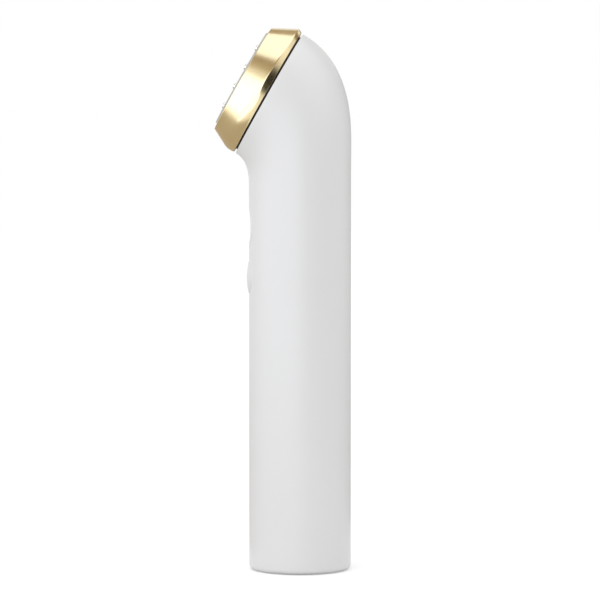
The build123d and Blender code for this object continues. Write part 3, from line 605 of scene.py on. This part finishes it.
power_cap = button("power_button", POWER_Z, POWER_R, POWER_CROWN)
level_cap = button("level_button", LEVEL_Z, LEVEL_R, LEVEL_CROWN)

# %% [markdown]
# ## Shader maths as sentences
#
# A pattern such as "dark where the distance from the middle is between two radii" takes a dozen Math
# nodes. They could be placed and linked one by one, but a small class whose operators add them lets
# the script read like the formula. `Wire` wraps one output socket.

# %% A class for sockets
class Wire:
    """One output socket. Sums, products and comparisons of wires add Math nodes to its graph."""

    def __init__(self, graph, socket):
        self.graph, self.socket = graph, socket

    def __add__(self, other):
        return self.graph.maths("ADD", self, other)

    def __sub__(self, other):
        return self.graph.maths("SUBTRACT", self, other)

    def __rsub__(self, other):
        return self.graph.maths("SUBTRACT", other, self)

    def __mul__(self, other):
        return self.graph.maths("MULTIPLY", self, other)

    def __pow__(self, other):
        return self.graph.maths("POWER", self, other)

    def __lt__(self, other):
        return self.graph.maths("LESS_THAN", self, other)

    def __gt__(self, other):
        return self.graph.maths("GREATER_THAN", self, other)

    def __abs__(self):
        return self.graph.maths("ABSOLUTE", self)

    __radd__, __rmul__ = __add__, __mul__

    def step(self, edge, soft):
        """0 below edge - soft, 1 above edge + soft, and a smooth rise between."""
        sockets = {"Value": self, "From Min": edge - soft, "From Max": edge + soft}
        return self.graph.node("ShaderNodeMapRange", {"interpolation_type": "SMOOTHSTEP"}, sockets)


print("a wire's methods:", [name for name, thing in vars(Wire).items() if callable(thing)])

# %% [markdown]
# `Graph` is a tree of nodes, of a material or of the world, and its `node` is the one way in which
# any other node is added, with its settings set before its inputs. Colours are written as display
# values from 0 to 255, as a paint chart gives them, and turned into the linear values that nodes use.

# %% A class for trees of nodes
SEEING_RAYS = ("Is Camera Ray", "Is Glossy Ray", "Is Transmission Ray")


def colour(shade):
    """Display values to linear ones: ((v + 0.055) / 1.055)^2.4, or v / 12.92 for the darkest."""
    v = np.array(shade, float) / 255
    return (*np.where(v > 0.04045, ((v + 0.055) / 1.055) ** 2.4, v / 12.92), 1.0)


def times(shade, factor):
    """A shade made lighter or darker by a factor, and no lighter than white."""
    return np.minimum(255, factor * np.array(shade))


class Graph:
    """A tree of shader nodes."""

    def __init__(self, tree):
        self.tree = tree

    def node(self, kind, settings, sockets, output=0):
        """Adds any node: its settings first, then the values or wires of its sockets."""
        node = self.tree.nodes.new(kind)
        for setting, value in settings.items():
            setattr(node, setting, value)
        for name, value in sockets.items():
            self.plug(node.inputs[name], value)
        return Wire(self, node.outputs[output])

    def plug(self, socket, value):
        """Links a wire to an input, or sets the input to a value."""
        if isinstance(value, Wire):
            self.tree.links.new(value.socket, socket)
        else:
            socket.default_value = value

    def maths(self, operation, *values):
        """A Math node of one, two or three values."""
        return self.node("ShaderNodeMath", {"operation": operation}, dict(enumerate(values)))

    def seen(self):
        """1 for camera, mirror and glass rays, else 0: the flags a, b and c as 1 - (1-a) (1-b) (1-c)."""
        path = self.node("ShaderNodeLightPath", {}, {}).socket.node
        camera, mirror, glass = (Wire(self, path.outputs[name]) for name in SEEING_RAYS)
        return 1 - (1 - camera) * (1 - mirror) * (1 - glass)


print("white plastic as linear values:", [round(float(v), 3) for v in colour((229, 229, 229))])

# %% [markdown]
# A finish is a graph that belongs to a material with one Principled shader. Its patterns are measured
# in Object coordinates, in metres from the wand's origin, so they keep their size on every piece and
# move with it. `paint` gives the finish to pieces, and remembers which ones have had theirs.

# %% A class for finishes
COLOUR_A, COLOUR_B, COLOUR_OUT = 6, 7, 2  # a Mix node's sockets for colours, among others of that name


class Finish(Graph):
    """A material, its one Principled shader, and the place where its pattern is measured from."""

    def __init__(self, name, shade, roughness, metallic=0.0, **constants):
        self.material = bpy.data.materials.new(name)
        self.material.use_nodes = True
        super().__init__(self.material.node_tree)
        self.shader = self.tree.nodes["Principled BSDF"]
        self.place = self.node("ShaderNodeTexCoord", {}, {}, "Object")
        fixed = {"Base Color": colour(shade), "Roughness": roughness, "Metallic": metallic, **constants}
        for socket, value in fixed.items():
            self.shader.inputs[socket].default_value = value

    def noise(self, size, detail=2.0, place=None):
        """Cloudy noise from 0 to 1 whose spots are about size metres wide."""
        sockets = {"Vector": place or self.place, "Scale": 1 / size, "Detail": detail}
        return self.node("ShaderNodeTexNoise", {}, sockets)

    def axes(self):
        """The x, y and z of the place, as three wires."""
        split = self.node("ShaderNodeSeparateXYZ", {}, {"Vector": self.place}).socket.node
        return [Wire(self, output) for output in split.outputs]

    def stretched(self, scale):
        """The place, scaled by its own amount along each axis."""
        return self.node("ShaderNodeMapping", {}, {"Vector": self.place, "Scale": scale})

    def mix(self, share, first, second):
        """A colour between two, each a shade or a wire, by a share from 0 to 1."""
        node = self.node("ShaderNodeMix", {"data_type": "RGBA"}, {"Factor": share}).socket.node
        for number, value in ((COLOUR_A, first), (COLOUR_B, second)):
            self.plug(node.inputs[number], value if isinstance(value, Wire) else colour(value))
        return Wire(self, node.outputs[COLOUR_OUT])

    def bump(self, height, strength, distance=0.0001):
        """Feeds a height pattern to the shader's Normal, as deep as distance in metres."""
        sockets = {"Height": height, "Strength": strength, "Distance": distance}
        self.plug(self.shader.inputs["Normal"], self.node("ShaderNodeBump", {}, sockets))

    def vary(self, **wires):
        """Plugs wires into the shader's sockets, named in one word: base or roughness."""
        names = {"base": "Base Color", "roughness": "Roughness"}
        for word, wire in wires.items():
            self.plug(self.shader.inputs[names[word]], wire)

    def shows(self, surface):
        """Puts another shader in the place of the Principled one."""
        self.plug(self.tree.nodes["Material Output"].inputs["Surface"], surface)


painted = []


def paint(finish, *pieces):
    """Gives each piece this finish in all of its material slots."""
    for piece in pieces:
        obj = nodes[piece] if isinstance(piece, str) else piece
        if not obj.material_slots:
            obj.data.materials.append(finish.material)
        for slot in obj.material_slots:
            slot.material = finish.material
        painted.append(obj.name)


# %% [markdown]
# ## Satin white plastic
#
# The shell, the base and the buttons are one white resin, and the face plate is a greyer one. Its grey
# is painted shade: the plate is darkened all over, so that its rim shows as a grey line of shade along
# the face's edge. A soft-touch moulding isn't one colour and one gloss: spark-eroded tools leave a
# texture of a few hundredths of a millimetre, and the gloss drifts a little over the surface. Fine
# noise drives a very weak bump, and wide slow noise moves the shade by about one percent and the
# roughness by a few.

# %% White plastics
def white_plastic(name, shade, roughness, *pieces):
    """A satin plastic whose shade and gloss drift slowly, with a fine weak texture."""
    finish = Finish(name, shade, roughness, IOR=1.47)
    drift = finish.noise(0.03)
    finish.vary(
        base=finish.mix(drift, times(shade, 0.992), times(shade, 1.006)),
        roughness=drift * 0.05 + (roughness - 0.025),
    )
    finish.bump(finish.noise(0.00025, 1.0), 0.05, 0.00002)
    paint(finish, *pieces)
    return finish


white_plastic("housing_white", (229, 229, 229), 0.38, housing)
white_plastic("base_white", (226, 226, 226), 0.45, "base_cap")
# the face plate's grey is painted shade, darkened all over so that its rim reads as a line of shade
white_plastic("plate_white", (190, 190, 188), 0.4, face_plate)
white_plastic("button_white", (228, 228, 228), 0.34, level_cap)
power_white = white_plastic("button_white_printed", (228, 228, 228), 0.34, power_cap)
print("white pieces:", painted)

# %% [markdown]
# The power button carries the usual sign for on and off: an open circle with a stroke in its gap.
# It is printed, so it is only a change of colour. Distances on the cap's face are measured in the
# material from the object's own x and z, and the circle is "near the radius, and not in the gap",
# while the stroke is "near the middle line, and in the gap".

# %% The printed sign
SIGN_R, LINE_HALF, GAP_HALF, SOFT = 1.25, 0.17, 0.55, 0.03
STROKE_MIDDLE, STROKE_HALF = 0.95, 0.75
CAP_FACE_Y = -0.0155  # metres; only what lies ahead of this is the cap's face

x, y, z = power_white.axes()
sideways, upwards = x * (1 / MM), z * (1 / MM) - POWER_Z
distance = (sideways**2.0 + upwards**2.0) ** 0.5
circle = 1 - abs(distance - SIGN_R).step(LINE_HALF, SOFT)
gap = (abs(sideways) < GAP_HALF) * (upwards > 0.0)
beside_stroke = abs(sideways).step(LINE_HALF, SOFT)
past_stroke = abs(upwards - STROKE_MIDDLE).step(STROKE_HALF, SOFT)
stroke = (1 - beside_stroke) * (1 - past_stroke)
sign = power_white.maths("MAXIMUM", circle * (1 - gap), stroke) * (y < CAP_FACE_Y)
plain = Wire(power_white, power_white.shader.inputs["Base Color"].links[0].from_socket)
power_white.vary(base=power_white.mix(sign, plain, (132, 112, 84)))
print("nodes in the printed finish:", len(power_white.tree.nodes))

# %% [markdown]
# ## Gold
#
# The ring is polished and plated. Real plated gold is a pure mirror with a warm tint: Metallic is 1,
# the base colour is what it does to white light, and the roughness is low. What makes it look real is
# what it reflects, which comes with the lights. A little waviness from polishing bends the
# highlights, and a faint haze moves the tint and the gloss.

# %% Gold
gold = Finish("ring_gold", (233, 212, 170), 0.17, 1.0)
haze = gold.noise(0.004, 3.0)
gold.vary(base=gold.mix(haze, (229, 210, 163), (233, 217, 175)), roughness=haze * 0.05 + 0.175)
gold.bump(gold.noise(0.009, 1.0), 0.06, 0.0005)
paint(gold, gold_ring)
print("gold is on", painted[-1])

# %% [markdown]
# The other metals are bare and less perfect: plated pins, steel screws and cans, nickel tabs and
# drawn aluminium. Each is one tint whose roughness drifts between two values, over grains of its own
# size. Steel also gets a weak bump from its rolled skin.

# %% Bare metals
def bare_metal(name, shade, grain, roughest, smoothest, *pieces, detail=2.0):
    """A metal whose roughness drifts from smoothest to roughest, over grains of a size in metres."""
    finish = Finish(name, shade, (roughest + smoothest) / 2, 1.0)
    finish.vary(roughness=finish.noise(grain, detail) * (roughest - smoothest) + smoothest)
    paint(finish, *pieces)
    return finish


steel_pieces = ("base_screws", "board_screws", "carrier_screws", "usb_shell", "vibration_motor")
bare_metal("electrode_plate", (225, 224, 220), 0.0006, 0.26, 0.14, electrodes)
bare_metal("nickel", (196, 192, 180), 0.001, 0.4, 0.2, "battery_tabs")
bare_metal("can_aluminium", (190, 192, 196), 0.0008, 0.42, 0.22, "storage_capacitors")
steel = bare_metal("steel", (168, 170, 172), 0.0004, 0.44, 0.24, *steel_pieces, detail=3.0)
steel.bump(steel.noise(0.0002, 2.0), 0.15, 0.00002)
print("pieces painted, with the metals:", len(painted))

# %% [markdown]
# ## Rubber and foam
#
# The gasket behind the ring shows as a thin dark line round the head: its near-black is partly the
# rubber's own colour and partly painted shade of the groove. The wand stands on a silicone pad, let
# into the base cap. Only the rims of pad and cap show, so both keep their CAD solids.
# Silicone and foam are matt, and the foam has open pores, which a Voronoi pattern makes as small pits
# in the bump, with painted shade darkening the middle of each pit.

# %% Soft and dark materials
# near-black gasket: partly black rubber, partly painted shade of the groove behind the ring
gasket = Finish("gasket_dark", (16, 15, 15), 0.6)
gasket.vary(roughness=gasket.noise(0.001, 2.0) * 0.2 + 0.5)
paint(gasket, gasket_strip)

foot = Finish("foot_silicone", (206, 206, 205), 0.62)
foot.vary(base=foot.mix(foot.noise(0.004), (202, 202, 201), (210, 210, 209)))
foot.bump(foot.noise(0.0003, 2.0), 0.15, 0.00003)
paint(foot, "foot_pad")

foam = Finish("pad_foam", (62, 62, 66), 0.95)
# Voronoi distance: the bump's pits, and painted shade that darkens each pit's middle
pores_and_pit_shade = foam.node("ShaderNodeTexVoronoi", {}, {"Vector": foam.place, "Scale": 2500.0})
foam.vary(base=foam.mix(pores_and_pit_shade, (26, 26, 28), (74, 74, 78)))
foam.bump(pores_and_pit_shade, 0.5, 0.0002)
paint(foam, "battery_pads", "face_seal")

print("dark and soft finishes:", gasket.material.name, foot.material.name, foam.material.name)

# %% [markdown]
# ## Inside the grip
#
# Nobody sees the inside until the wand is taken apart, but then the board has to look like a board.
# Green solder mask over copper is a smooth coat with faint lighter tracks, which a Brick texture
# stretched along the board draws well enough. Chips are moulded in a fine black resin that is neither
# quite even nor quite smooth.

# %% Boards and chips
board_green = Finish("board_green", (24, 92, 58), 0.35, **{"Coat Weight": 0.4})
track_place = board_green.stretched((900.0, 900.0, 260.0))
brick = {"Vector": track_place, "Scale": 1.0, "Mortar Size": 0.06, "Mortar Smooth": 0.2}
tracks = board_green.node("ShaderNodeTexBrick", {"offset": 0.37}, brick, output=1)
board_green.vary(base=board_green.mix(tracks, (22, 84, 52), (58, 132, 84)))
board_green.bump(tracks, 0.3, 0.00003)
paint(board_green, "main_board", "electrode_board")

chip_black = Finish("chip_black", (30, 30, 32), 0.55)
grain = chip_black.noise(0.00015, 2.0)
chip_black.vary(base=chip_black.mix(grain, (24, 24, 26), (44, 44, 46)), roughness=grain * 0.2 + 0.45)
chip_black.bump(grain, 0.3, 0.00002)
paint(chip_black, "controller_chip", "charger_chip", "driver_transistors", "power_switch", "level_switch")
print("pieces painted, with the boards and chips:", len(painted))

# %% [markdown]
# The transformer's core and the boost coil are ferrite, a dull black ceramic with a rough fired skin.
# The winding is under yellow tape, whose layers show as soft bands up its side. The cell wears a blue
# shrink sleeve, which is glossy and creased a little along its length.

# %% Ferrite, tape and the cell's sleeve
ferrite = Finish("ferrite", (58, 56, 54), 0.7)
sinter = ferrite.noise(0.0003, 4.0)
ferrite.vary(base=ferrite.mix(sinter, (46, 44, 43), (74, 72, 70)))
ferrite.bump(sinter, 0.4, 0.00004)
paint(ferrite, "transformer_core", "boost_coil")

tape = Finish("winding_tape", (214, 168, 52), 0.3)
bands = {"Vector": tape.place, "Scale": 160.0, "Distortion": 1.0}
layers = tape.node("ShaderNodeTexWave", {"bands_direction": "Z"}, bands)
tape.vary(base=tape.mix(layers, (206, 156, 44), (222, 178, 64)))
tape.bump(layers, 0.2, 0.00005)
paint(tape, "transformer_winding")

sleeve = Finish("cell_sleeve", (44, 92, 150), 0.25)
shrink = sleeve.noise(1 / 600, place=sleeve.stretched((1.0, 1.0, 0.15)))
sleeve.vary(base=sleeve.mix(shrink, (38, 84, 142), (52, 100, 158)), roughness=shrink * 0.15 + 0.18)
sleeve.bump(shrink, 0.15, 0.00008)
paint(sleeve, "battery_cell")
print("pieces painted, with the core and the cell:", len(painted))

# %% [markdown]
# What is left is moulded plastic in plain shades, and the ribbon cable. Its cores lie side by side, one
# to a millimetre, so a sine of x is their height, and also their colour: darker in the grooves between
# cores, as painted shade. A last line counts what has no finish yet.

# %% Plain plastics and the ribbon cable
def plain_plastic(name, shade, roughness, *pieces, size=0.004):
    """A moulded plastic: one shade that drifts by a few percent, with an even gloss."""
    finish = Finish(name, shade, roughness)
    drift = finish.noise(size, 3.0)
    finish.vary(
        base=finish.mix(drift, times(shade, 0.94), times(shade, 1.05)),
        roughness=drift * 0.12 + (roughness - 0.06),
    )
    paint(finish, *pieces)


plain_plastic("chassis_plastic", (70, 72, 76), 0.6, "chassis")
plain_plastic("carrier_plastic", (188, 188, 184), 0.5, "head_carrier")
plain_plastic("guide_plastic", (212, 210, 202), 0.5, "button_guide")
plain_plastic("plunger_brown", (120, 70, 42), 0.5, "power_plunger", "level_plunger", size=0.001)
plain_plastic("plug_cream", (226, 216, 190), 0.45, "head_plug", "usb_tongue", size=0.002)
plain_plastic("bead_epoxy", (90, 90, 97), 0.35, "temperature_sensor", size=0.001)

cable = Finish("cable_grey", (178, 180, 184), 0.5)
# the sine is the cores' height, and painted shade that darkens the grooves between them
cores_and_groove_shade = cable.maths("SINE", cable.axes()[0] * (2 * pi / MM))
cable.vary(base=cable.mix(cores_and_groove_shade.step(0.0, 0.9), (150, 152, 156), (188, 190, 194)))
cable.bump(cores_and_groove_shade, 0.4, 0.0001)
paint(cable, "ribbon_cable")

unpainted = [name for name, obj in nodes.items() if not obj.hide_render and obj.name not in painted]
print("pieces with a finish:", len(painted), "and without:", unpainted)

# %% [markdown]
# ## The table, and a white that keeps a shadow
#
# A white background could be burnt out with light, but then the wand burns out too. Instead the world
# shows a plain white of strength 1 to camera, mirror and glass rays only, which `Light Path` tells
# apart, while other rays get the studio's real, lower level. To the same rays the floor adds a glow to
# its own lit colour. The two come to white away from the wand and to less beneath it, so the wand's
# shadow stays visible.

# %% Floor and world
FLOOR_GLOW, WORLD_LEVEL = 0.3, 0.87


def panel(name, centre, across, up, material):
    """A flat rectangle for the stage: centre, plus and minus half of the vectors across and up."""
    centre, across, up = (np.array(v, float) for v in (centre, across, up))
    corners = [centre + (i * across + j * up) / 2 for i, j in ((-1, -1), (1, -1), (1, 1), (-1, 1))]
    mesh = bpy.data.meshes.new(name)
    mesh.from_pydata(corners, [], [(0, 1, 2, 3)])
    mesh.materials.append(material)
    obj = bpy.data.objects.new(name, mesh)
    bpy.context.scene.collection.objects.link(obj)
    return obj


pale = Finish("floor_pale", (236, 236, 236), 0.9, **{"Specular IOR Level": 0.0})
glow = pale.node("ShaderNodeEmission", {}, {"Strength": pale.seen() * FLOOR_GLOW})
lit = Wire(pale, pale.shader.outputs[0])
pale.shows(pale.node("ShaderNodeAddShader", {}, {0: lit, 1: glow}))
floor = panel("floor", (0, 0, 0), (12, 0, 0), (0, 12, 0), pale.material)

world = bpy.data.worlds.new("studio")
bpy.context.scene.world = world
world.use_nodes = True
sky = Graph(world.node_tree)
background = sky.tree.nodes["Background"]
background.inputs["Color"].default_value = (1, 1, 1, 1)
sky.plug(background.inputs["Strength"], sky.seen() * (1 - WORLD_LEVEL) + WORLD_LEVEL)
print("world level for light:", WORLD_LEVEL, "floor's glow:", FLOOR_GLOW)

# %% [markdown]
# ## Lamps
#
# A round satin body needs one broad lamp at the side, for the soft shading of the grip, a small one
# above, and an even room for the rest, which the world gives. Both lamps face the head from a
# direction that is given as the angle round the wand and the angle above the floor.

# %% Directions and lamps
HEAD = np.array([0.0, -0.01, 0.155])  # metres, as all of the studio is


def towards(azimuth, elevation):
    """The direction (sin a cos e, -cos a cos e, sin e): azimuth 0 is the wand's front, 90 its side."""
    a, e = radians(azimuth), radians(elevation)
    return np.array([sin(a) * cos(e), -cos(a) * cos(e), sin(e)])


def lamp(name, azimuth, elevation, distance, side, level):
    """A square soft box that faces the head, as bright as level times white: watts = level * pi * area."""
    light = bpy.data.lights.new(name, "AREA")
    light.shape, light.size = "SQUARE", side
    light.energy = level * pi * side**2
    obj = bpy.data.objects.new(name, light)
    bpy.context.scene.collection.objects.link(obj)
    obj.location = HEAD + distance * towards(azimuth, elevation)
    obj.rotation_euler = (pi / 2 - radians(elevation), 0.0, radians(azimuth))
    return obj


lamps = [lamp("side_box", 60, 35, 2.6, 1.2, 1.8), lamp("top_box", 0, 80, 1.3, 0.6, 0.8)]
print("lamps:", [round(obj.data.energy, 1) for obj in lamps], "W")

# %% [markdown]
# ## Cards
#
# The gold needs more than light: a mirror shows only its surroundings. So its bright bands are
# reflections of white cards, and its brown and dark bands are reflections of darker ones, which a
# studio calls flags. All of them are seen by mirror rays alone, so they give no light to the plastic
# and take none away. The white is a little cool, so that the gold's highlights come out as cream. A
# card's place follows from the ring: the direction in which a spot of it mirrors the camera is where
# the card for that spot has to be.

# %% Cards for the gold
WHITE, BROWN, GREY = (238, 243, 255), (152, 131, 100), (150, 146, 140)


def card(name, azimuth, elevation, distance, size, shade, level=1.0, flat=False, tilt=0.0):
    """A card that only mirror rays see, as bright as level times its shade.

    It faces the head, or lies level if it is flat, and is turned in its own plane by tilt degrees.
    """
    finish = Finish(name, (0, 0, 0), 1.0)
    finish.shows(finish.node("ShaderNodeEmission", {}, {"Color": colour(shade), "Strength": level}))
    out = towards(azimuth, elevation)
    across = np.array([-out[1], out[0], 0.0]) / hypot(out[0], out[1])
    up = np.array([out[0], out[1], 0.0]) / hypot(out[0], out[1]) if flat else np.cross(out, across)
    lean = radians(tilt)
    across, up = across * cos(lean) + up * sin(lean), up * cos(lean) - across * sin(lean)
    obj = panel(name, HEAD + distance * out, size[0] * across, size[1] * up, finish.material)
    obj.visible_camera = obj.visible_diffuse = obj.visible_shadow = obj.visible_transmission = False
    return obj


cards = [  # each with azimuth, elevation, distance, size, shade and level
    card("front_card", 8, 12, 1.2, (1.1, 0.84), WHITE, 2.6),
    card("side_card", 60, 13, 1.2, (1.28, 0.92), WHITE, 2.4),
    card("low_card", 60, -13, 0.68, (1.0, 0.68), WHITE, 2.4, flat=True),
    card("top_card", 135, 80, 1.0, (1.3, 1.3), WHITE, 1.8),
    card("back_card", 148, 32, 1.2, (1.1, 0.8), (255, 255, 255), 1.2),
    card("wall_flag", 35, 58, 1.6, (2.2, 0.54), BROWN),
    card("wall_fade", 35, 58, 1.65, (2.3, 0.98), (200, 186, 160)),
    card("band_flag", 98, 36, 1.15, (2.2, 0.44), (165, 143, 112), tilt=-25),
    card("rim_flag", 245, -6, 1.2, (1.5, 0.9), GREY),
    card("rim_floor", 245, -17, 0.52, (0.9, 0.8), GREY, flat=True),
    card("crown_flag", 216, 36, 0.8, (0.32, 0.62), (152, 132, 104)),
    card("far_flag", 275, 52, 1.2, (1.8, 0.8), (190, 174, 150)),
    card("back_flag", 132, -6.5, 0.5, (0.72, 0.23), (18, 14, 11), tilt=-10),
    card("table_flag", -44, -16, 0.551, (1.06, 0.72), (194, 183, 169), flat=True, tilt=-44),
]
print("cards:", len(cards))

# %% [markdown]
# ## The camera
#
# The wand is seen square from its side, at azimuth 90 degrees. The camera stands a little above the
# wand's middle and is aimed slightly down at it, with a long lens, as for a product shot: the grip's
# sides stay nearly parallel, and the base shows a shallow curve.

# %% Camera
CAMERA_FAR, CAMERA_HIGH, AIM_HIGH = 0.88, 0.1285, 0.0890  # metres

camera_data = bpy.data.cameras.new("camera")
camera_data.sensor_width, camera_data.lens = 36.0, 160.2
camera = bpy.data.objects.new("camera", camera_data)
bpy.context.scene.collection.objects.link(camera)
camera.location = (CAMERA_FAR, 0.0, CAMERA_HIGH)
aimed_down = atan2(CAMERA_HIGH - AIM_HIGH, CAMERA_FAR)
camera.rotation_euler = (pi / 2 - aimed_down, 0.0, pi / 2)
bpy.context.scene.camera = camera
bpy.context.scene.view_settings.view_transform = "Standard"
print("camera aimed down by degrees:", round(aimed_down * 180 / pi, 2))

# %% [markdown] The dressed wand has to fill the same room as the CAD model.
